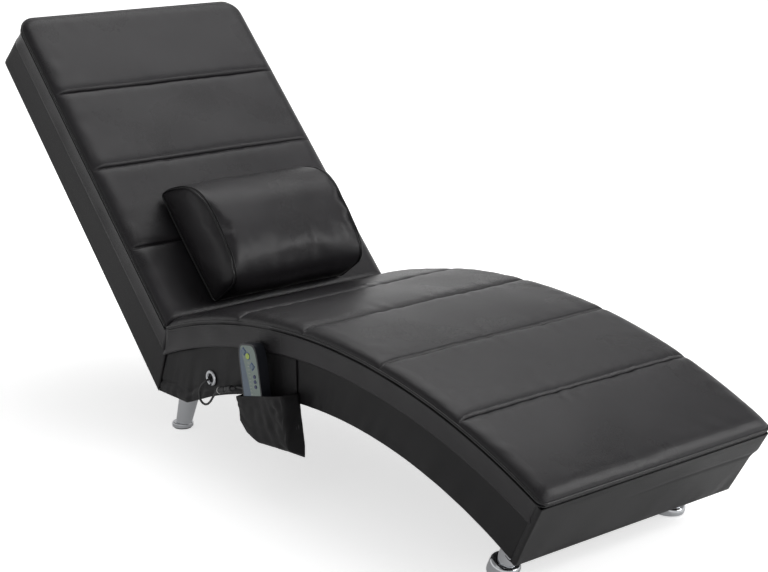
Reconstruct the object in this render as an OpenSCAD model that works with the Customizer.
// Massage chaise longue: a sloping backrest and an arched seat, each a timber frame with a
// padded top, joined by a mitre at the crease and standing on four chromed legs.
// X runs from the head end to the foot end, Y to the far side, Z up from the floor.

/* [Overall] */
// Width across the cushions
width = 530; // [490:5:600]
// Length of the backrest from the crease to its top welt
back_l = 723; // [660:1:800]
// Slope of the backrest above the horizontal
back_angle = 45.8; // [43:0.1:49]
// Run of the seat behind its highest point
seat_rear_l = 440; // [420:1:460]
// Run of the seat in front of its highest point
seat_front_l = 555; // [530:1:580]
// Height of the seat welt at its highest point
seat_h = 307; // [300:1:325]
// Radius of the arched seat line
seat_r = 1250; // [1230:5:1350]
// Height of the arch underneath at its highest point
arch_h = 178; // [172:1:184]
// Radius of the arch underneath
arch_r = 980; // [960:5:1040]
// Distance of the arch's highest point in front of the seat's
arch_ahead = 15; // [5:1:25]
// Height of the flat stretch over the rear legs
base_h = 88; // [82:1:94]
// Lean of the joint between back and seat
mitre_angle = 20; // [18:0.5:22]
// Slope of the front end from the vertical
front_angle = 30; // [27:0.5:33]

/* [Cushions] */
// Height of the padded band from the frame to the welt
cushion_t = 48; // [44:1:54]
// How far the cushions stand out over the frame at each side
overhang = 13; // [8:1:16]
// How far a cushion's end stands out over the frame
end_overhang = 8; // [4:1:12]
// Rise of a cushion's top above its welt
crown = 14; // [8:1:20]
// Depth of a sewn channel, as a share of the crown
channel_share = 0.72; // [0.5:0.01:0.9]
// How far a cushion's side draws in between welt and frame
draw_in = 4; // [2:0.5:7]
// Gap between two soft faces that meet
soft_gap = 0.3; // [0.2:0.05:0.5]

/* [Frame] */
// Depth of the backrest frame at its top
back_frame_t = 74; // [68:1:80]
// Thickness of the side rails and cross boards
rail_t = 18; // [15:1:22]
// Thickness of the plywood under the cushions
deck_t = 5; // [4:0.5:8]
// Thickness of the padded covering round the frames
skirt_t = 3; // [2:0.5:5]
// Thickness of the cloth under the seat and of the rear panel
lining_t = 2; // [1.5:0.5:3]
// Width of a corner block
block_w = 62; // [56:1:70]
// Height of a corner block
block_h = 34; // [28:1:40]
// Thickness of the steel plates across the mitre
joiner_t = 3; // [2.5:0.5:5]
// Width of the steel plates across the mitre
joiner_w = 26; // [22:1:28]
// Reach of a steel plate on each side of the mitre
joiner_reach = 66; // [60:1:70]
// Diameter of the frame bolts
bolt_d = 8; // [6:1:10]

/* [Legs] */
// Distance of the legs from the cushion sides
leg_inset = 70; // [60:1:90]
// Distance of the rear leg's top in front of the mitre's foot
rear_leg_in = 22; // [21:1:30]
// Rake of the rear legs
rear_leg_rake = 20; // [10:1:22]
// Diameter of a rear leg at its top
rear_leg_top_d = 40; // [34:1:42]
// Diameter of a rear leg above its foot disc
rear_leg_low_d = 29; // [24:1:32]
// Diameter of a rear leg's foot disc
rear_disc_d = 41; // [36:1:50]
// Height of a rear leg's foot disc
rear_disc_h = 9; // [6:1:12]
// Distance of the front leg's top behind the front welt
front_leg_back = 116; // [100:1:130]
// Diameter of a front leg's cup
front_cup_d = 52; // [46:1:58]
// Height of a front leg's cup
front_cup_h = 34; // [28:1:38]
// Diameter of a front leg's neck
front_neck_d = 34; // [28:1:38]
// Side of a leg's square plate
leg_plate_w = 42; // [42:1:50]
// Thickness of a leg's plate
leg_plate_t = 3; // [2:0.5:4]
// Thickness of the plastic glides
glide_t = 3; // [2:0.5:5]

/* [Massage motors] */
// Diameter of a motor's housing
motor_house_d = 64; // [60:1:70]
// Depth of a motor's housing
motor_house_h = 34; // [32:1:40]
// Wall of a motor's housing
motor_wall = 2; // [1.5:0.5:3]
// Diameter of a motor's can
motor_can_d = 24; // [20:1:26]
// Length of a motor's can
motor_can_l = 27; // [22:1:28]
// Diameter of a motor's shaft
motor_shaft_d = 3; // [2:0.5:4]
// Length of a motor's shaft outside its can
motor_shaft_l = 16; // [14:1:17]
// Diameter of an eccentric weight
weight_d = 22; // [18:1:24]
// Thickness of an eccentric weight
weight_t = 8; // [6:1:9]
// Radial running clearance of a weight on its shaft
run_gap = 0.05; // [0.02:0.01:0.08]

/* [Handset] */
// Length of the handset
hand_l = 152; // [140:1:165]
// Width of the handset at its middle
hand_w = 57; // [50:1:62]
// Thickness of the handset
hand_t = 21; // [18:1:24]
// Lean of the handset in its pocket
hand_lean = 10; // [6:1:14]
// Distance of the handset's lower end in front of the crease
hand_x = 312; // [308:1:316]
// Height of the handset's lower end
hand_z = 116; // [114:1:120]
// Wall of the handset's shells
hand_wall = 2; // [1.5:0.5:2.5]
// Travel of a button
press = 0.8; // [0.5:0.1:1.2]

/* [Pocket] */
// Width of the side pocket
pocket_w = 176; // [170:1:185]
// Depth of the pocket from its hem to its lowest point
pocket_h = 105; // [100:1:112]
// Thickness of the pocket's cloth
pocket_t = 1.6; // [1.2:0.1:2]
// Distance of the pocket's rear edge in front of the crease
pocket_x = 241; // [236:1:244]
// Height of the rear end of the pocket's hem
pocket_z = 150; // [146:1:156]
// Slope of the pocket's hem
pocket_slope = 19; // [17:0.5:21]
// Distance of the lead's eyelet in front of the crease
grommet_x = 126; // [120:1:132]
// Height of the lead's eyelet
grommet_z = 157; // [152:1:162]
// Bore of the eyelet
grommet_bore = 16; // [12:1:18]
// Outer diameter of the eyelet's ring
grommet_d = 30; // [26:1:34]

/* [Pillow] */
// Length of the pillow across the seat
pillow_l = 318; // [280:1:360]
// Height of the pillow's flat back
pillow_h = 262; // [230:1:280]
// Depth of the pillow from its flat back to its round front
pillow_d = 108; // [90:1:120]

/* [Hidden] */

// Overrun of a cut past the face that it opens
cut = 1;
// Clearance round a part that sits in another
seat_gap = 0.2;
// Smoothness of round parts
$fn = 48;

frame_w = width - 2 * overhang;
inner_w = frame_w - 2 * skirt_t;
core_w = inner_w - 2 * rail_t;
seat_l = seat_rear_l + seat_front_l;
back_top_t = cushion_t + back_frame_t;
back_end = back_l - end_overhang;
// The part is centred between the backrest's rear top corner and the front welt
crease_x = (back_end * cos(back_angle) + back_top_t * sin(back_angle) - seat_l) / 2;
apex_x = crease_x + seat_rear_l;
front_x = crease_x + seat_l;
crease_a = asin(seat_rear_l / seat_r);
front_a = asin(seat_front_l / seat_r);
crease_z = seat_h - seat_r * (1 - cos(crease_a));
front_z = seat_h - seat_r * (1 - cos(front_a));
seat_c = [apex_x, seat_h - seat_r];
arch_x = apex_x + arch_ahead;
arch_c = [arch_x, arch_h - arch_r];
// What the pocket and handset stand out past the near cushion side is shared between both sides
hand_back = overhang + soft_gap + seat_gap;
pocket_out = hand_back + hand_t + 2 * soft_gap + pocket_t;
mid_y = (pocket_out - overhang) / 2;
near_y = -frame_w / 2;

// Directions in the side view: up the backrest, out of it, and down the mitre
up_dir = [-cos(back_angle), sin(back_angle)];
out_dir = [sin(back_angle), cos(back_angle)];
mitre_dir = [-sin(mitre_angle), -cos(mitre_angle)];
front_dir = [-sin(front_angle), -cos(front_angle)];
crease = [crease_x, crease_z];

// A point of the side view, u up the backrest from the crease and v out of its welt plane
function back_pt(u, v) = crease + u * up_dir + v * out_dir;
// Where the line through p along a crosses the line through q along b
function meet(p, a, q, b) =
    p + a * (((q - p)[0] * b[1] - (q - p)[1] * b[0]) / (a[0] * b[1] - a[1] * b[0]));
// A direction turned a quarter turn
function turned(d) = [-d[1], d[0]];
function unit(v) = v / norm(v);

mitre_foot = meet(crease, mitre_dir, [0, base_h], [1, 0]);
back_rear_top = back_pt(back_end, -back_top_t);
rear_dir = unit(mitre_foot - back_rear_top);

// Moves the whole part so that its floor rectangle is centred
module placed() translate([0, mid_y, 0]) children();
// Stands a side view up and runs it from y0 to y1
module side(y0, y1) translate([0, y1, 0]) rotate([90, 0, 0]) linear_extrude(y1 - y0) children();
// Does the same at both sides of the middle, from y0 to y1 out from it
module both_sides(y0, y1) { side(y0, y1) children(); side(-y1, -y0) children(); }
// Puts a piece on the backrest: X down its slope, Z out of it, origin in the welt plane
module on_back(u, y = 0) translate([crease_x, y, crease_z]) rotate([0, back_angle, 0])
    translate([-u, 0, 0]) children();
// Puts a piece on the seat's arc at the angle a: X forward, Z out of it, origin on the welt line
module on_seat(a, y = 0) translate([seat_c[0], y, seat_c[1]]) rotate([0, a, 0])
    translate([0, 0, seat_r]) children();
// Puts a piece under the arch at the angle a, low enough for a flat plate of a leg to clear the curve
module on_arch(a, y = 0) translate([arch_c[0], y, arch_c[1]]) rotate([0, a, 0])
    translate([0, 0, arch_r - plate_sag]) children();

// Side view of the seat between its two ends, drawn in by end_d and raised by low_d at the base
module seat_zone(end_d, low_d) {
    base = [0, base_h + low_d];
    top = [0, seat_h + cut];
    left = crease + end_d * turned(mitre_dir);
    right = [front_x, front_z] - (end_d + end_overhang) * turned(front_dir);
    flat = [1, 0];
    polygon([meet(left, -mitre_dir, base, flat), meet(left, -mitre_dir, top, flat),
        meet(right, -front_dir, top, flat), meet(right, front_dir, [0, 0], flat),
        [arch_x, 0], [arch_x, base[1]]]);
}
// Side view of the seat below top_d under its welt, drawn in at its ends and its underside
module seat_section(top_d, end_d = 0, low_d = 0) intersection() {
    seat_zone(end_d, low_d);
    difference() {
        translate(seat_c) circle(seat_r - top_d, $fn = 720);
        translate(arch_c) circle(arch_r + low_d, $fn = 720);
    }
}
// Side view of the backrest between front_d under its welt plane and its rear face
module back_section(front_d, rear_d = 0, end_d = 0) {
    mitre = crease - end_d * turned(mitre_dir);
    front = back_pt(0, -front_d);
    top = back_pt(back_end - end_d, 0);
    rear = back_rear_top + rear_d * turned(rear_dir);
    polygon([meet(mitre, mitre_dir, front, up_dir), meet(top, out_dir, front, up_dir),
        meet(top, out_dir, rear, rear_dir), meet(mitre, mitre_dir, rear, rear_dir)]);
}

// Timber frames

// Places of the cross boards up the backrest, as shares of its length
back_board_shares = [0.34, 0.68];
// Places of the cross boards along the seat, as shares of its arc
seat_board_shares = [0.42, 0.72];
// Diameter of the hole that lets the wiring through a board
wire_hole_d = 14;
bolt_head_d = 2.2 * bolt_d;
bolt_head_t = 0.5 * bolt_d;
nut_t = 0.8 * bolt_d;
rail_out = inner_w / 2;
rail_in = core_w / 2;
seat_turn = crease_a + front_a;

// Directions of a joining plate's two arms, along the middle of each rail
arm_back = up_dir;
arm_seat = [cos(crease_a), sin(crease_a)];
// Middle of the joining plates on the mitre, as a share of the way down it
joiner_mid_share = 0.68;
joiner_mid = crease + mitre_dir * (crease_z - base_h) * joiner_mid_share;
// Places of the bolts along an arm, as shares of its reach
bolt_shares = [0.62, 0.9];
bolt_places = [for (arm = [arm_back, arm_seat], share = bolt_shares)
    joiner_mid + arm * joiner_reach * share];

// Through holes for the joining bolts, from y0 to y1 at both sides
module bolt_holes(d, y0, y1) for (p = bolt_places, s = [-1, 1])
    translate([p[0], s * (y0 + y1) / 2, p[1]]) rotate([90, 0, 0])
        cylinder(d = d, h = y1 - y0, center = true);

// Side view of a joining plate, grown by a clearance
module joiner_shape(gap = 0) for (arm = [arm_back, arm_seat])
    polygon([for (e = [[0, -1], [1, -1], [1, 1], [0, 1]])
        joiner_mid + arm * (joiner_reach + gap) * e[0] + turned(arm) * (joiner_w / 2 + gap) * e[1]]);

// What the joining plates and the wiring pass through at the mitre
module mitre_slots() {
    both_sides(rail_in - joiner_t - seat_gap, rail_in + cut) joiner_shape(seat_gap);
    run(wire_pass[0], wire_pass[1], wire_hole_d);
}

module back_side_rails() color("burlywood") placed() difference() {
    both_sides(rail_in, rail_out) back_section(cushion_t + deck_t, lining_t, skirt_t);
    bolt_holes(bolt_d, rail_in - cut, rail_out + cut);
    bolt_holes(bolt_head_d, rail_out - bolt_head_t, rail_out + cut);
}

module seat_side_rails() color("burlywood") placed() difference() {
    both_sides(rail_in, rail_out) seat_section(cushion_t + deck_t, skirt_t, lining_t);
    bolt_holes(bolt_d, rail_in - cut, rail_out + cut);
    bolt_holes(bolt_head_d, rail_out - bolt_head_t, rail_out + cut);
    grommet_hole(washer_d + 2 * seat_gap);
}

// Bottom and top boards close the ends of the backrest frame
module back_cross_boards() color("tan") placed() difference() {
    side(-rail_in, rail_in) {
        difference() {
            back_section(cushion_t + deck_t, lining_t, skirt_t);
            back_section(cushion_t + deck_t - cut, lining_t - cut, skirt_t + rail_t);
        }
        for (share = back_board_shares) intersection() {
            back_section(cushion_t + deck_t, lining_t, skirt_t);
            polygon([for (e = [[-1, 0], [1, 0], [1, 1], [-1, 1]])
                back_pt(share * back_l + e[0] * rail_t / 2, e[1] * -2 * back_top_t)]);
        }
    }
    mitre_slots();
    wire_ways(wire_hole_d);
}

module seat_cross_boards() color("tan") placed() difference() {
    side(-rail_in, rail_in) {
        difference() {
            seat_section(cushion_t + deck_t, skirt_t, lining_t);
            seat_section(cushion_t + deck_t - cut, skirt_t + rail_t, lining_t - cut);
        }
        for (share = seat_board_shares) intersection() {
            seat_section(cushion_t + deck_t, skirt_t, lining_t);
            translate(seat_c) rotate(-(share * seat_turn - crease_a))
                translate([-rail_t / 2, 0]) square([rail_t, seat_r]);
        }
    }
    mitre_slots();
    wire_ways(wire_hole_d);
    leg_studs(seat_gap);
}

module back_deck() color("wheat") placed() difference() {
    side(-rail_out, rail_out) difference() {
        back_section(cushion_t, 0, skirt_t);
        back_section(cushion_t + deck_t, -cut, 0);
    }
}

module seat_deck() color("wheat") placed() side(-rail_out, rail_out) difference() {
    seat_section(cushion_t, skirt_t);
    seat_section(cushion_t + deck_t, 0, -cut);
}

// Coverings of the frames

module back_skirt() color("#1b1b1d") placed() difference() {
    side(-frame_w / 2, frame_w / 2) back_section(cushion_t);
    side(-inner_w / 2, inner_w / 2) back_section(cushion_t - cut, -cut, skirt_t);
    mitre_slots();
}

module back_rear_panel() color("#161618") placed() side(-inner_w / 2, inner_w / 2) difference() {
    back_section(cushion_t + deck_t, 0, skirt_t);
    back_section(cushion_t, lining_t, 0);
}

module seat_skirt() color("#1b1b1d") placed() difference() {
    side(-frame_w / 2, frame_w / 2) seat_section(cushion_t);
    side(-inner_w / 2, inner_w / 2) seat_section(cushion_t - cut, skirt_t, -cut);
    mitre_slots();
    grommet_hole(grommet_bore + 2 * barrel_t + 2 * seat_gap);
}

module seat_dust_cover() color("#0f0f10") placed() difference() {
    side(-inner_w / 2, inner_w / 2) difference() {
        seat_section(cushion_t + deck_t, skirt_t);
        seat_section(cushion_t, 0, lining_t);
    }
    leg_studs(seat_gap);
    inlet_hole();
}

module corner_blocks() color("peru") placed() difference() {
    both_sides(rail_in - block_w, rail_in) block_sections();
    leg_studs(seat_gap);
}

module block_sections() {
    intersection() {
        seat_section(cushion_t + deck_t, skirt_t + rail_t, lining_t);
        translate([mitre_foot[0], base_h]) square([skirt_t + rail_t + block_w, block_h]);
    }
    intersection() {
        seat_section(cushion_t + deck_t, skirt_t + rail_t, lining_t);
        translate(arch_c) rotate(-front_leg_a) translate([-block_w / 2, 0])
            square([block_w, arch_r + lining_t + block_h]);
    }
}

module joining_plates() color("silver") placed() difference() {
    both_sides(rail_in - joiner_t, rail_in) joiner_shape();
    bolt_holes(bolt_d, rail_in - joiner_t - cut, rail_in + cut);
}

module joining_bolts() color("gainsboro") placed() for (p = bolt_places, s = [-1, 1])
    translate([p[0], s * rail_out, p[1]]) rotate([s * 90, 0, 0]) {
        cylinder(d = bolt_head_d - seat_gap, h = bolt_head_t - seat_gap);
        cylinder(d = bolt_d - seat_gap, h = rail_t + joiner_t + 1.3 * nut_t);
    }

module joining_nuts() color("silver") placed() for (p = bolt_places, s = [-1, 1])
    translate([p[0], s * (rail_in - joiner_t), p[1]]) rotate([s * 90, 0, 0]) difference() {
        cylinder(d = 1.8 * bolt_d, h = nut_t, $fn = 6);
        translate([0, 0, -cut]) cylinder(d = bolt_d, h = nut_t + 2 * cut);
    }

// Legs

leg_y = width / 2 - leg_inset;
rear_leg_x = mitre_foot[0] + rear_leg_in;
rear_leg_top = base_h - leg_plate_t;
rear_leg_l = rear_leg_top / cos(rear_leg_rake);
rear_foot_x = rear_leg_x - rear_leg_top * tan(rear_leg_rake);
front_leg_a = asin((front_x - front_leg_back - arch_x) / arch_r);
plate_sag = arch_r * (1 - cos(asin(leg_plate_w / 2 / arch_r))) + 0.1 * seat_gap;
// Height of the arch over the front leg, and the length of the leg's axis down to the floor
front_leg_h = arch_c[1] + arch_r * cos(front_leg_a);
front_leg_l = front_leg_h / cos(front_leg_a);
front_foot_x = arch_x + (front_leg_h - arch_c[1]) * tan(front_leg_a) - front_leg_h * tan(front_leg_a);
// Diameter and length of the stud that fastens a leg
stud_d = 8;
stud_l = 22;
// Rounding of the front cup's rims and of the rear discs
cup_round = 9;
disc_round = 3;
// How far a front cup's lower rim reaches past the middle of its foot
cup_past = 7;
front_glide_d = 26;

// Studs of the four legs, grown by a clearance
module leg_studs(gap = 0) for (y = [-leg_y, leg_y]) {
    translate([rear_leg_x, y, rear_leg_top]) cylinder(d = stud_d + 2 * gap, h = stud_l + gap);
    on_arch(front_leg_a, y) translate([0, 0, -leg_plate_t])
        cylinder(d = stud_d + 2 * gap, h = stud_l + gap);
}

module leg_plate() translate([-leg_plate_w / 2, -leg_plate_w / 2, 0])
    cube([leg_plate_w, leg_plate_w, leg_plate_t]);

module leg_plates() color("silver") placed() difference() {
    for (y = [-leg_y, leg_y]) {
        translate([rear_leg_x, y, rear_leg_top]) leg_plate();
        on_arch(front_leg_a, y) translate([0, 0, -leg_plate_t]) leg_plate();
    }
    leg_studs(seat_gap);
}

// Raked cone on a round foot disc, cut level under its plate
module rear_leg(y) color("lightgray") placed() {
    taper = (rear_leg_top_d - rear_leg_low_d) / rear_leg_l;
    translate([0, y, 0]) {
        intersection() {
            translate([rear_leg_x, 0, rear_leg_top]) rotate([0, rear_leg_rake, 0])
                translate([0, 0, -rear_leg_l - rear_disc_d / 2])
                    cylinder(d1 = rear_leg_low_d - taper * rear_disc_d / 2,
                        d2 = rear_leg_top_d + taper * rear_disc_d / 2, h = rear_leg_l + rear_disc_d);
            translate([rear_foot_x - base_h, -rear_leg_top_d, glide_t + rear_disc_h / 2])
                cube([2 * base_h, 2 * rear_leg_top_d, rear_leg_top - glide_t - rear_disc_h / 2]);
        }
        translate([rear_foot_x, 0, glide_t]) rotate_extrude() difference() {
            square([rear_disc_d / 2, rear_disc_h]);
            translate([rear_disc_d / 2 - disc_round, rear_disc_h - disc_round]) difference() {
                square(disc_round + cut);
                circle(disc_round);
            }
        }
    }
    translate([rear_leg_x, y, rear_leg_top]) cylinder(d = stud_d, h = stud_l);
}
module rear_leg_left() rear_leg(leg_y);
module rear_leg_right() rear_leg(-leg_y);

// A neck that ends in a round cup, square to the arch and cut level at the floor
module front_leg(y) color("lightgray") placed() {
    low = front_leg_l + cup_past;
    intersection() {
        on_arch(front_leg_a, y) translate([0, 0, -low]) rotate_extrude() {
            difference() {
                square([front_cup_d / 2, front_cup_h]);
                for (z = [0, front_cup_h]) translate([front_cup_d / 2 - cup_round,
                    z == 0 ? cup_round : front_cup_h - cup_round]) difference() {
                    translate([0, z == 0 ? -cup_round - cut : 0]) square(cup_round + cut);
                    circle(cup_round);
                }
            }
            square([front_neck_d / 2, low - leg_plate_t]);
        }
        translate([front_foot_x - front_leg_h, y - front_cup_d, glide_t])
            cube([2 * front_leg_h + front_cup_d, 2 * front_cup_d, front_leg_h + front_cup_d]);
    }
    on_arch(front_leg_a, y) translate([0, 0, -leg_plate_t]) cylinder(d = stud_d, h = stud_l);
}
module front_leg_left() front_leg(leg_y);
module front_leg_right() front_leg(-leg_y);

module leg_glides() color("#202020") placed() for (y = [-leg_y, leg_y]) {
    translate([rear_foot_x, y, 0]) cylinder(d = rear_disc_d - 2 * disc_round, h = glide_t);
    translate([front_foot_x + cup_past, y, 0]) cylinder(d = front_glide_d, h = glide_t);
}

// Massage motors and their wiring

// Distance of the paired motors from the middle
motor_y = 92;
flange_w = 7;
// Places of the motors up the backrest and along the seat, as shares
upper_share = 0.83;
lumbar_share = 0.2;
thigh_share = 0.57;
thigh_a = thigh_share * seat_turn - crease_a;
motor_flange_d = motor_house_d + 2 * flange_w;
motor_sag = seat_r * (1 - cos(asin(motor_flange_d / 2 / (seat_r - cushion_t - deck_t)))) + seat_gap;
deck_depth = cushion_t + deck_t;

// Puts a motor's pieces at station n, Z out of the upholstery and origin under the deck
module at_motor(n) {
    if (n < 4) on_back((n < 2 ? upper_share : lumbar_share) * back_l, (n % 2 == 0 ? -1 : 1) * motor_y)
        translate([0, 0, -deck_depth]) children();
    else on_seat(thigh_a) translate([0, 0, -deck_depth - motor_sag]) children();
}
motor_z = -motor_house_h / 2;
// Where the weights turn, in the side view
function motor_axis(n) = n < 4
    ? back_pt((n < 2 ? upper_share : lumbar_share) * back_l, motor_z - deck_depth)
    : seat_c + (seat_r - deck_depth - motor_sag + motor_z) * [sin(thigh_a), cos(thigh_a)];
function motor_side(n) = n == 4 ? 0 : (n % 2 == 0 ? -1 : 1) * motor_y;
can_y0 = -motor_can_l + cut;
can_y1 = cut;

// A round pot with a flange, and a cradle that the can sits in
module motor_housings() color("#303236") placed() for (n = [0:4]) at_motor(n) difference() {
    union() {
        translate([0, 0, -motor_wall]) cylinder(d = motor_flange_d, h = motor_wall);
        translate([0, 0, -motor_house_h]) cylinder(d = motor_house_d, h = motor_house_h);
    }
    difference() {
        translate([0, 0, -motor_house_h + motor_wall])
            cylinder(d = motor_house_d - 2 * motor_wall, h = motor_house_h);
        translate([-motor_can_d / 2, can_y0, -motor_house_h])
            cube([motor_can_d, motor_can_l, motor_house_h / 2]);
    }
    translate([0, can_y0 - cut, motor_z]) rotate([-90, 0, 0])
        cylinder(d = motor_can_d, h = motor_can_l + 2 * cut);
}

module motor_cans() color("lightsteelblue") placed() for (n = [0:4]) at_motor(n)
    translate([0, can_y0, motor_z]) rotate([-90, 0, 0]) {
        cylinder(d = motor_can_d, h = motor_can_l);
        cylinder(d = motor_shaft_d, h = motor_can_l + motor_shaft_l);
    }

// A half disc with a hub round the shaft, hanging heavy side down
module weight(n) color("goldenrod") placed()
    translate([motor_axis(n)[0], motor_side(n) + can_y1 + (motor_shaft_l - weight_t) / 2,
        motor_axis(n)[1]]) rotate([-90, 0, 0]) difference() {
            union() {
                intersection() {
                    cylinder(d = weight_d, h = weight_t);
                    translate([-weight_d, 0, -cut]) cube([2 * weight_d, weight_d, weight_t + 2 * cut]);
                }
                cylinder(d = 3 * motor_shaft_d, h = weight_t);
            }
            translate([0, 0, -cut]) cylinder(d = motor_shaft_d + 2 * run_gap, h = weight_t + 2 * cut);
        }
module weight_1() weight(0);
module weight_2() weight(1);
module weight_3() weight(2);
module weight_4() weight(3);
module weight_5() weight(4);

// Flat pad in a recess under the lumbar part of the back cushion
heater_l = 190;
heater_w = 250;
heater_t = 3;
heater_u = lumbar_share * back_l + rail_t;
module heater_block(gap = 0) on_back(heater_u)
    translate([-heater_l / 2 - gap, -heater_w / 2 - gap, -cushion_t - (gap > 0 ? cut : 0)])
        cube([heater_l + 2 * gap, heater_w + 2 * gap, heater_t + gap + (gap > 0 ? cut : 0)]);
module heater_pad() color("#8a3a2a") placed() heater_block();

// Control box under the seat, with its lid, board and the socket for the adapter
box_l = 112;
box_w = 72;
box_h = 26;
box_wall = 2;
box_a = 0.21 * seat_turn - crease_a;
box_y = -rail_in + box_w / 2 + nut_t + joiner_t;
box_sag = seat_r * (1 - cos(asin(box_l / 2 / (seat_r - deck_depth)))) + seat_gap;
lid_t = 2;
pcb_t = 1.6;
module at_box() on_seat(box_a, box_y) translate([0, 0, -deck_depth - box_sag]) children();

module control_box() color("#26282b") placed() at_box() difference() {
    translate([-box_l / 2, -box_w / 2, -box_h]) cube([box_l, box_w, box_h]);
    translate([-box_l / 2 + box_wall, -box_w / 2 + box_wall, -box_h - cut])
        cube([box_l - 2 * box_wall, box_w - 2 * box_wall, box_h - box_wall + cut]);
}
module control_lid() color("#303236") placed() at_box()
    translate([-box_l / 2, -box_w / 2, -box_h - lid_t]) cube([box_l, box_w, lid_t]);
module control_board() color("darkgreen") placed() at_box() {
    chip_l = box_l / 5;
    translate([-box_l / 2 + 2 * box_wall, -box_w / 2 + 2 * box_wall, -box_h])
        cube([box_l - 4 * box_wall, box_w - 4 * box_wall, pcb_t]);
    for (x = [-1.4, 0.4]) translate([x * chip_l, -chip_l / 2, -box_h + pcb_t])
        cube([chip_l, chip_l, box_h / 4]);
}

inlet_d = 12;
inlet_flange_d = 17;
inlet_flange_t = 1.5;
inlet_l = 20;
inlet_bore_d = 5.6;
inlet_bore_l = 10;
inlet_pin_d = 2;
inlet_p = [mitre_foot[0] + skirt_t + rail_t + inlet_flange_d, -rail_in + block_w + 2 * inlet_flange_d, base_h];
module inlet_hole() translate(inlet_p - [0, 0, cut]) cylinder(d = inlet_d + 2 * seat_gap, h = lining_t + 2 * cut);
module dc_inlet() color("#151515") placed() translate(inlet_p) difference() {
    union() {
        translate([0, 0, -inlet_flange_t]) cylinder(d = inlet_flange_d, h = inlet_flange_t);
        cylinder(d = inlet_d, h = inlet_l);
    }
    translate([0, 0, -inlet_flange_t - cut]) difference() {
        cylinder(d = inlet_bore_d, h = inlet_bore_l + cut);
        translate([0, 0, 2 * cut]) cylinder(d = inlet_pin_d, h = inlet_bore_l);
    }
}

// Points of the wiring inside the frames
function back3(u, y, d) = let(p = back_pt(u, -d)) [p[0], y, p[1]];
function seat3(a, y, d) = [seat_c[0] + (seat_r - d) * sin(a), y, seat_c[1] + (seat_r - d) * cos(a)];
wire_d = 5;
wire_depth = deck_depth + box_sag + box_h / 2;
// Distance of a wire's end from what it runs to
wire_off = 0.6;
box_turn = asin((box_l / 2 + wire_off) / (seat_r - wire_depth));
// Angle at which a wire has run straight out of the end of the control box
stub_turn = asin((box_l / 2 + 3 * wire_d) / (seat_r - wire_depth));
turn_u = lumbar_share * back_l - motor_flange_d / 2 - wire_hole_d;
motor_in = motor_y - motor_house_d / 2 - wire_off;
thigh_turn = asin((motor_house_d / 2 + wire_off) / (seat_r - wire_depth));
grommet_p = [crease_x + grommet_x, near_y, grommet_z];
// Radius of a wire's bends, and how much deeper the trunk lies where others cross it
wire_bend = 2 * wire_d;
wire_step = wire_d + wire_off;
// The two ends of the straight way square through the mitre
wire_pass = [for (e = [1, -1]) let(p = joiner_mid
    + e * turned(mitre_dir) * (rail_t + skirt_t + wire_hole_d)) [p[0], box_y, p[1]]];
wire_runs = [
    [seat3(box_a - box_turn, box_y, wire_depth), seat3(box_a - stub_turn, box_y, wire_depth),
        wire_pass[0], wire_pass[1],
        back3(turn_u, box_y, wire_depth + wire_step), back3(turn_u, 0, wire_depth + wire_step),
        back3(upper_share * back_l + wire_d, 0, wire_depth + wire_step)],
    [back3(upper_share * back_l, -motor_in, wire_depth), back3(upper_share * back_l, motor_in, wire_depth)],
    [back3(lumbar_share * back_l, -motor_in, wire_depth), back3(lumbar_share * back_l, motor_in, wire_depth)],
    [seat3(box_a + box_turn, box_y, wire_depth), seat3(0.38 * seat_turn - crease_a, box_y, wire_depth),
        seat3(0.38 * seat_turn - crease_a, 0, wire_depth), seat3(thigh_a - thigh_turn, 0, wire_depth)],
    [inlet_p + [0, 0, inlet_l + wire_off], inlet_p + [0, 0, inlet_l + 3 * wire_d],
        seat3(0.08 * seat_turn - crease_a, inlet_p[1], wire_depth),
        seat3(box_a - stub_turn, box_y + box_w / 4, wire_depth),
        seat3(box_a - box_turn, box_y + box_w / 4, wire_depth)],
    [seat3(box_a - box_turn, box_y - box_w / 4, wire_depth),
        seat3(box_a - stub_turn, box_y - box_w / 4, wire_depth),
        grommet_p + [0, skirt_t + 1.5 * rail_t, 0], grommet_p + [0, skirt_t + rail_t, 0]]];

// A straight stretch of wire from p to q
module run(p, q, d) {
    v = q - p;
    translate(p) rotate([0, acos(v[2] / norm(v)), atan2(v[1], v[0])]) cylinder(d = d, h = norm(v));
}
// Straight ways for all the wiring through the boards
module wire_ways(d) for (w = wire_runs, i = [0:len(w) - 2]) run(w[i], w[i + 1], d);

// A wire's points, with each corner cut across at the distance r
function eased(w, r) = [for (i = [0:len(w) - 1]) each i == 0 || i == len(w) - 1 ? [w[i]]
    : [w[i] - r * unit(w[i] - w[i - 1]), w[i] + r * unit(w[i + 1] - w[i])]];
// Length of the shortest stretch of a wire, which limits its bends
function shortest(w) = min([for (i = [1:len(w) - 1]) norm(w[i] - w[i - 1])]);
module wiring_harness() color("#3a3a40") placed() for (w = wire_runs)
    tube(eased(w, min(wire_bend, 0.4 * shortest(w))), wire_d, 8, unit([1, 1, 1]));

// Eyelet of the handset's lead

barrel_t = 1;
barrel_l = 7;
ring_t = 3;
washer_d = 28;
washer_t = 1.2;

module grommet_hole(d) translate(grommet_p - [0, cut, 0]) rotate([-90, 0, 0])
    cylinder(d = d, h = skirt_t + rail_t + 2 * cut);

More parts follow.
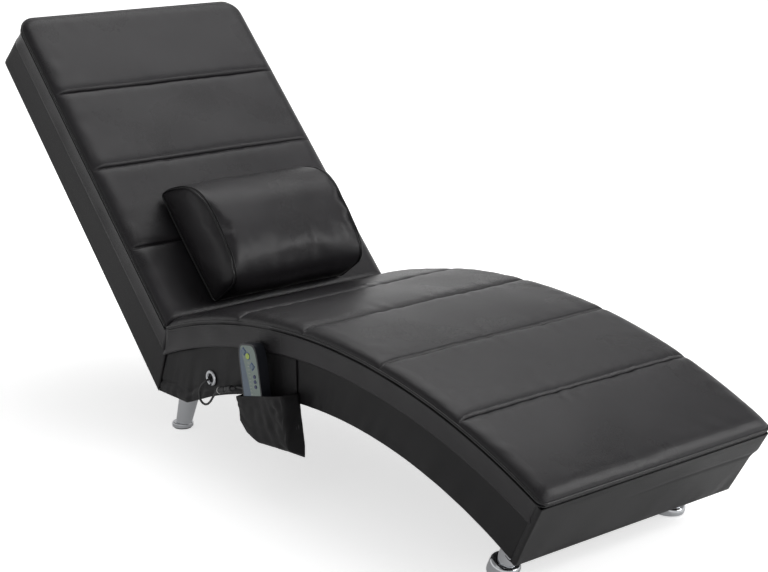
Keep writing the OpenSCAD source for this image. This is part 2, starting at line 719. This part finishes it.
module grommet() color("silver") placed() translate(grommet_p) rotate([90, 0, 0]) rotate_extrude() {
    ring_w = (grommet_d - grommet_bore) / 2;
    translate([grommet_bore / 2 + ring_w / 2, 0]) intersection() {
        circle(ring_w / 2);
        translate([-ring_w, 0]) square([2 * ring_w, ring_t]);
    }
    translate([grommet_bore / 2, -barrel_l]) square([barrel_t, barrel_l + ring_t / 4]);
}

module grommet_washer() color("darkgray") placed() translate(grommet_p + [0, skirt_t, 0])
    rotate([-90, 0, 0]) difference() {
        cylinder(d = washer_d, h = washer_t);
        translate([0, 0, -cut]) cylinder(d = grommet_bore + 2 * barrel_t + 2 * seat_gap, h = washer_t + 2 * cut);
    }

// Side pocket

// Outline of the pocket under its hem, as shares of its width and depth
pocket_shares = [[0, 0], [0.05, 0.35], [0.19, 0.675], [0.39, 0.87], [0.64, 0.955], [0.88, 1],
    [0.945, 0.79], [1, 0.1], [0.97, 0]];
// How far the pocket stands out along its hem, as shares of its width and of its depth outwards
bulge_shares = [[0, 0], [0, 0.35], [0.09, 1], [0.56, 1], [0.8, 0.72], [0.95, 0.55], [1, 0.25], [1, 0]];
// How far it stands out down to its foot, as shares of its height and of its depth outwards
hang_shares = [[0, 0], [0, 1], [0.62, 1], [0.86, 0.8], [1, 0.5], [1, 0]];

// Puts a piece on the pocket: X along the hem, Z up square to it, -Y outwards
module at_pocket() translate([crease_x + pocket_x, near_y, pocket_z]) rotate([0, -pocket_slope, 0])
    children();

// The pocket's space, drawn in by gap on every side and open at the hem where gap is set
module pocket_space(gap) {
    depth = pocket_out - gap;
    mid = [pocket_w / 2, -pocket_h / 2];
    k = [1 - 2 * gap / pocket_w, 1 - 2 * gap / pocket_h];
    lift = gap > 0 ? cut : 0;
    intersection() {
        translate([0, gap > 0 ? -gap : 0, 0]) rotate([90, 0, 0]) linear_extrude(pocket_out) union() {
            polygon([for (q = pocket_shares) mid + [k[0] * (q[0] * pocket_w - mid[0]),
                k[1] * (-q[1] * pocket_h - mid[1])]]);
            if (gap > 0) translate([gap, -gap]) square([0.97 * pocket_w - 2 * gap, gap + lift]);
        }
        translate([0, 0, -2 * pocket_h]) linear_extrude(2 * pocket_h + cut)
            polygon([for (q = bulge_shares) [mid[0] + k[0] * (q[0] * pocket_w - mid[0]), -q[1] * depth]]);
        translate([-cut, 0, 0]) rotate([90, 0, 90]) linear_extrude(pocket_w + 2 * cut)
            polygon(pocket_hang(depth, gap, lift));
    }
}
// Points of the pocket's outward reach from its hem to its foot
function pocket_hang(depth, gap, lift) = concat([[0, lift], [-depth, lift]],
    [for (i = [1:len(hang_shares) - 1]) [-hang_shares[i][1] * depth, -hang_shares[i][0] * (pocket_h - gap)]]);

module side_pocket() color("#121213") placed() {
    at_pocket() difference() {
        pocket_space(0);
        pocket_space(pocket_t);
    }
    // The back panel runs up under the cushion's edge
    intersection() {
        translate([0, near_y, 0]) rotate([90, 0, 0]) linear_extrude(pocket_t) seat_section(cushion_t);
        at_pocket() translate([0, -pocket_out, -pocket_h / 2]) cube([pocket_w, 2 * pocket_out, 2 * pocket_h]);
    }
}

// Handset

// Outline exponent of the handset's rounded barrel shape
hand_power = 5;
hand_split = 9;
face_t = 0.8;
face_in = 2.6;
proud = 1;
rim_t = 1;
board_t = 1.6;
// Places of the buttons, from the handset's middle line and its top
button_places = [[0, 22], [-10, 14], [10, 40], [13.5, 58], [13.5, 67], [13.5, 76]];
button_ds = [11, 8, 8, 6.4, 6.4, 6.4];
pad_d_more = 2;

module at_hand() translate([crease_x + hand_x, near_y - hand_back, hand_z]) rotate([0, -hand_lean, 0])
    children();
// The handset's outline drawn in by gap, extruded from depth o0 to depth o1 off its back
module hand_slab(gap, o0, o1) translate([0, -o0, hand_l / 2]) rotate([90, 0, 0])
    linear_extrude(o1 - o0) polygon([for (i = [0:47]) let(c = cos(i * 7.5), s = sin(i * 7.5))
        [sign(c) * pow(abs(c), 2 / hand_power) * (hand_w / 2 - gap),
            sign(s) * pow(abs(s), 2 / hand_power) * (hand_l / 2 - gap)]]);
// A button's shape at place n, from depth o0 to o1, grown by gap
module button_shape(n, gap, o0, o1) translate([button_places[n][0], -o0, hand_l - button_places[n][1]])
    rotate([90, 0, 0]) if (n == 1 || n == 2) rotate([0, 0, 45])
        translate([-button_ds[n] / 2 - gap, -button_ds[n] / 2 - gap, 0])
            cube([button_ds[n] + 2 * gap, button_ds[n] + 2 * gap, o1 - o0]);
    else cylinder(d = button_ds[n] + 2 * gap, h = o1 - o0);

module hand_rear_shell() color("#15161a") placed() at_hand() difference() {
    union() {
        hand_slab(rim_t, 0, rim_t);
        hand_slab(0, rim_t, hand_split);
    }
    hand_slab(hand_wall + rim_t, hand_wall, hand_split + cut);
    hand_slab(hand_wall, hand_split - board_t, hand_split + cut);
}
module hand_front_shell() color("#15161a") placed() at_hand() difference() {
    hand_slab(0, hand_split, hand_t);
    hand_slab(hand_wall, hand_split - cut, hand_t - hand_wall - face_t);
    hand_slab(face_in, hand_t - face_t, hand_t + cut);
    for (n = [0:5]) button_shape(n, seat_gap, hand_split, hand_t + cut);
}
module hand_face() color("#8fb0ad") placed() at_hand() difference() {
    hand_slab(face_in + seat_gap, hand_t - face_t, hand_t);
    for (n = [0:5]) button_shape(n, seat_gap, hand_split, hand_t + cut);
}
module hand_board() color("darkgreen") placed() at_hand()
    hand_slab(hand_wall + seat_gap, hand_split - board_t, hand_split);

// A button with the pad that keeps it behind the shell
module button(n, shade) color(shade) placed() at_hand() {
    button_shape(n, 0, hand_split + press + seat_gap, hand_t + proud);
    button_shape(n, pad_d_more / 2, hand_split + press + seat_gap,
        hand_t - hand_wall - face_t - seat_gap / 2);
}
module button_power() button(0, "#b9d94a");
module button_upper() button(1, "#2b3fa0");
module button_lower() button(2, "#2b3fa0");
module button_zone_1() button(3, "#1c2a6b");
module button_zone_2() button(4, "#1c2a6b");
module button_zone_3() button(5, "#1c2a6b");

// Handset's lead

lead_d = 4.2;
lead_gap = 0.7;
plug_d = 13;
plug_l = 22;
socket_l = 20;
ring_l = 2;
// Slope of the inline connector and the place of its rear end from the crease and the near side
plug_slope = 19;
plug_p = [168, -12, 146];
plug_dir = [cos(plug_slope), 0, sin(plug_slope)];
socket_p = plug_p + (plug_l + socket_l) * plug_dir;
// Routes of the lead, forward of the crease, out of the near side and above the floor
grommet_route = [[126, 10, 157], [126, 0, 157], [126, -5, 156], [123, -10, 152], [117, -13, 146],
    [111, -14, 138], [107, -14, 129], [107, -14, 120], [111, -14, 112], [119, -13, 108],
    [129, -13, 110], [138, -12, 117], [147, -12, 128], [156, -12, 138]];
socket_route = [[218, -10, 164], [229, -8, 166], [242, -7, 166], [258, -7, 165], [275, -7, 164],
    [292, -7, 163], [308, -7, 162], [324, -8, 161], [340, -9, 160], [356, -10, 159], [368, -10, 159]];
tail_route = [[366, -15, 107], [352, -16, 104], [340, -18, 100], [328, -21, 98], [318, -23, 102]];

// Coil of the surplus lead, standing in the pocket
coil_d = 44;
coil_turns = 4.5;
coil_p = [382, -10, 133];
coil_rings = 24;
coil_pitch = lead_d + lead_gap;
coil_swing = coil_turns / 2;
function smooth(k) = let(c = min(max(k, 0), 1)) c * c * (3 - 2 * c);
function coil_r(k) = coil_d / 2 + coil_pitch * (abs(k - coil_swing) - coil_swing / 2);
// Point of the coil after k turns, clockwise from its top as seen from the near side
function coil_pt(k) = lead_origin + coil_p + [coil_r(k) * sin(360 * k),
    -coil_pitch * smooth((k - coil_swing) * 2 + 0.5), coil_r(k) * cos(360 * k)];
lead_origin = [crease_x, near_y, 0];
coil_pts = [for (i = [0:coil_turns * coil_rings]) coil_pt(i / coil_rings)];
coil_apart = min([for (i = [0:len(coil_pts) - 1], j = [i + coil_rings / 2:1:len(coil_pts) - 1])
    norm(coil_pts[i] - coil_pts[j])]) - lead_d;
echo(least_gap_between_turns_of_lead_coil = coil_apart);

// One normal after another along a path, each the last one laid square to the path again
function square_to(n, t) = unit(n - (n * t) * t);
function path_dirs(pts) = [for (i = [0:len(pts) - 1])
    unit(pts[min(i + 1, len(pts) - 1)] - pts[max(i - 1, 0)])];
function path_sides(dirs, n0) = [for (i = 0, n = square_to(n0, dirs[0]); i < len(dirs);
    n = i + 1 < len(dirs) ? square_to(n, dirs[i + 1]) : n, i = i + 1) n];
// A tube of d round a path, closed at both ends
module tube(pts, d, sides, n0 = [0, 0, 1]) {
    dirs = path_dirs(pts);
    nrm = path_sides(dirs, n0);
    last = len(pts) - 1;
    polyhedron([for (i = [0:last], j = [0:sides - 1]) let(a = 360 * j / sides)
        pts[i] + d / 2 * (cos(a) * nrm[i] + sin(a) * cross(dirs[i], nrm[i]))],
        concat([for (i = [0:last - 1], j = [0:sides - 1]) let(a = i * sides + j,
            b = i * sides + (j + 1) % sides) each [[a, a + sides, b], [b, a + sides, b + sides]]],
            [for (j = [1:sides - 2]) [0, j, j + 1]],
            [for (j = [1:sides - 2]) [last * sides, last * sides + j + 1, last * sides + j]]));
}
// A route's own points put in place, between a straight end at p along a and one at q along b
function routed(p, a, route, q, b) = concat([p, p + lead_d * a],
    [for (r = route) lead_origin + r], [q - lead_d * b, q]);

hand_foot = [crease_x + hand_x, near_y - hand_back - hand_t / 2, hand_z];
hand_axis = [-sin(hand_lean), 0, cos(hand_lean)];
coil_last = coil_pts[len(coil_pts) - 1];

module grommet_lead() color("#101010") placed() tube(routed(
    grommet_p + [0, skirt_t + rail_t, 0], [0, -1, 0], grommet_route,
    lead_origin + plug_p, plug_dir), lead_d, 8, [0, 0, 1]);

module at_plug() translate(lead_origin + plug_p) rotate([0, 90 - plug_slope, 0]) children();
module lead_plug() color("#1c1c1f") placed() at_plug() {
    cylinder(d1 = plug_d / 2, d2 = plug_d, h = ring_l);
    translate([0, 0, ring_l]) cylinder(d = plug_d, h = plug_l - ring_l);
}
module lead_socket() color("#17171a") placed() at_plug() translate([0, 0, plug_l]) {
    cylinder(d = plug_d, h = socket_l - ring_l);
    translate([0, 0, socket_l - ring_l]) cylinder(d1 = plug_d, d2 = plug_d / 2, h = ring_l);
}
module handset_lead() color("#101010") placed() {
    tube(routed(lead_origin + socket_p, plug_dir, socket_route, coil_pts[0], [1, 0, 0]), lead_d, 8);
    tube(routed(coil_last, [-1, 0, 0], tail_route, hand_foot - soft_gap * hand_axis, hand_axis),
        lead_d, 8, [0, 1, 0]);
}
module lead_coil() color("#101010") placed() tube(coil_pts, lead_d, 6, [0, 0, 1]);

// Cushions

// Seams across the cushions, as shares of their length
back_seam_shares = [0, 0.238, 0.492, 0.745, 1];
seat_seam_shares = [0, 0.235, 0.417, 0.613, 0.802, 1];
// Places of the rings along a sewn panel, as shares of it
panel_shares = [0, 0.06, 0.2, 0.5, 0.8, 0.94];
// Places of a ring's points across a cushion's top, as shares of its half width
top_shares = [-0.975, -0.88, -0.65, -0.35, 0, 0.35, 0.65, 0.88, 0.975];
// Heights of the points down a cushion's side, as shares of its band, and how far each draws in
side_shares = [[1, 0.8], [0.8, 1], [0.35, 0.9], [0.1, 0.35], [0, 0]];
puff = 6;
// How far along a cushion its end's slant fades out, as a share of its length
slant_share = 0.1;

// Where the rings lie along a cushion: the share of its length, and how full its crown is there
function ring_shares(seams) = concat([for (i = [0:len(seams) - 2], f = panel_shares)
    [seams[i] + f * (seams[i + 1] - seams[i]), i == 0 && f == 0 ? 0 :
        1 - channel_share * pow(abs(2 * f - 1), puff)]], [[1, 0]]);
// A ring's points: across the cushion, and above its welt
function ring_pts(full) = concat(
    [for (q = side_shares) [-width / 2 + q[1] * draw_in, -q[0] * cushion_t]],
    [for (y = top_shares) [y * width / 2, full * crown * (1 - pow(abs(y), puff))]],
    [for (i = [len(side_shares) - 1:-1:0]) let(q = side_shares[i])
        [width / 2 - q[1] * draw_in, -q[0] * cushion_t]]);
// Rise that keeps the flat facets under the seat cushion clear of the arched deck
longest_step = (panel_shares[3] - panel_shares[2]) * max([for (i = [1:len(seat_seam_shares) - 1])
    seat_seam_shares[i] - seat_seam_shares[i - 1]]);
longest_chord = longest_step * (seat_turn * PI / 180 * seat_r
    + cushion_t * tan(mitre_angle + crease_a) / slant_share);
chord_rise = longest_chord * longest_chord / 8 / (seat_r - cushion_t) + 0.1 * soft_gap;
// The slant of a ring at share s, from slant0 at the crease to slant1 at the free end
function slant(s, slant0, slant1) = tan(slant0) * max(0, 1 - s / slant_share)
    + tan(slant1) * max(0, 1 - (1 - s) / slant_share);
// Point of the seat or back cushion at share s along it, y across it and n above its welt
function seat_pt(s, y, n0) = let(n = n0 + (n0 < -cushion_t / 2 ? chord_rise : 0),
    shift = n * slant(s, mitre_angle + crease_a, front_a - front_angle) + soft_gap * (1 - s),
    a = s * seat_turn - crease_a + shift / seat_r * 180 / PI)
    [seat_c[0] + (seat_r + n) * sin(a), y, seat_c[1] + (seat_r + n) * cos(a)];
function rest_pt(s, y, n0) = let(n = n0 + (n0 < -cushion_t / 2 ? soft_gap / 2 : 0),
    p = back_pt(s * back_l + n * slant(s, back_angle - mitre_angle, 0) + soft_gap * (1 - s), n))
    [p[0], y, p[1]];

// Faces of a loft of rings with k points each, its two ends closed by fans round a middle point
function loft_faces(rings, k) = let(mid0 = rings * k, mid1 = rings * k + 1, last = (rings - 1) * k)
    concat([for (i = [0:rings - 2], j = [0:k - 1]) let(a = i * k + j, b = i * k + (j + 1) % k)
        each [[a, b, a + k], [b, b + k, a + k]]],
        [for (j = [0:k - 1]) [mid0, (j + 1) % k, j]],
        [for (j = [0:k - 1]) [mid1, last + j, last + (j + 1) % k]]);
function reversed(faces) = [for (f = faces) [f[2], f[1], f[0]]];

module seat_cushion() color("#1f1f22") placed() {
    rings = ring_shares(seat_seam_shares);
    k = len(ring_pts(0));
    polyhedron(concat([for (r = rings, q = ring_pts(r[1])) seat_pt(r[0], q[0], q[1])],
        [seat_pt(0, 0, -cushion_t / 2), seat_pt(1, 0, -cushion_t / 2)]),
        loft_faces(len(rings), k));
}
module back_cushion() color("#1f1f22") placed() difference() {
    rings = ring_shares(back_seam_shares);
    k = len(ring_pts(0));
    polyhedron(concat([for (r = rings, q = ring_pts(r[1])) rest_pt(r[0], q[0], q[1])],
        [rest_pt(0, 0, -cushion_t / 2), rest_pt(1, 0, -cushion_t / 2)]),
        reversed(loft_faces(len(rings), k)));
    heater_block(seat_gap);
}

// Pillow

// How far the pillow's lower edge lies up the backrest from the crease
pillow_low = 12;
pillow_bulge = 7;
pillow_points = 28;
// Places of its rings along it, and how much smaller each is, as shares
pillow_shares = [[-1, 0.9], [-0.985, 0.95], [-0.94, 0.99], [-0.8, 1], [-0.4, 1.01], [0, 1.015],
    [0.4, 1.01], [0.8, 1], [0.94, 0.99], [0.985, 0.95], [1, 0.9]];
// Round front and slightly full back of the pillow: along the backrest and off it
function pillow_ring(k) = [for (i = [0:pillow_points - 1]) let(a = 360 * i / pillow_points)
    [sign(cos(a)) * pow(abs(cos(a)), 0.9) * pillow_h / 2 * k,
        sin(a) > 0 ? pow(sin(a), 0.9) * (pillow_d - pillow_bulge) * k : sin(a) * pillow_bulge * k]];

module pillow() color("#222225") placed()
    on_back(pillow_low + pillow_h / 2 * 1.015) translate([0, 0, crown + soft_gap + pillow_bulge * 1.015])
        polyhedron(concat([for (r = pillow_shares, q = pillow_ring(r[1])) [q[0], r[0] * pillow_l / 2, q[1]]],
            [[0, -pillow_l / 2, pillow_d / 3], [0, pillow_l / 2, pillow_d / 3]]),
            loft_faces(len(pillow_shares), pillow_points));

back_side_rails();
back_cross_boards();
back_deck();
back_skirt();
back_rear_panel();
back_cushion();
seat_side_rails();
seat_cross_boards();
seat_deck();
seat_skirt();
seat_dust_cover();
seat_cushion();
corner_blocks();
joining_plates();
joining_bolts();
joining_nuts();
leg_plates();
rear_leg_left();
rear_leg_right();
front_leg_left();
front_leg_right();
leg_glides();
motor_housings();
motor_cans();
weight_1();
weight_2();
weight_3();
weight_4();
weight_5();
heater_pad();
control_box();
control_lid();
control_board();
dc_inlet();
wiring_harness();
grommet();
grommet_washer();
side_pocket();
pillow();
hand_front_shell();
hand_rear_shell();
hand_board();
hand_face();
button_power();
button_upper();
button_lower();
button_zone_1();
button_zone_2();
button_zone_3();
grommet_lead();
lead_plug();
lead_socket();
handset_lead();
lead_coil();
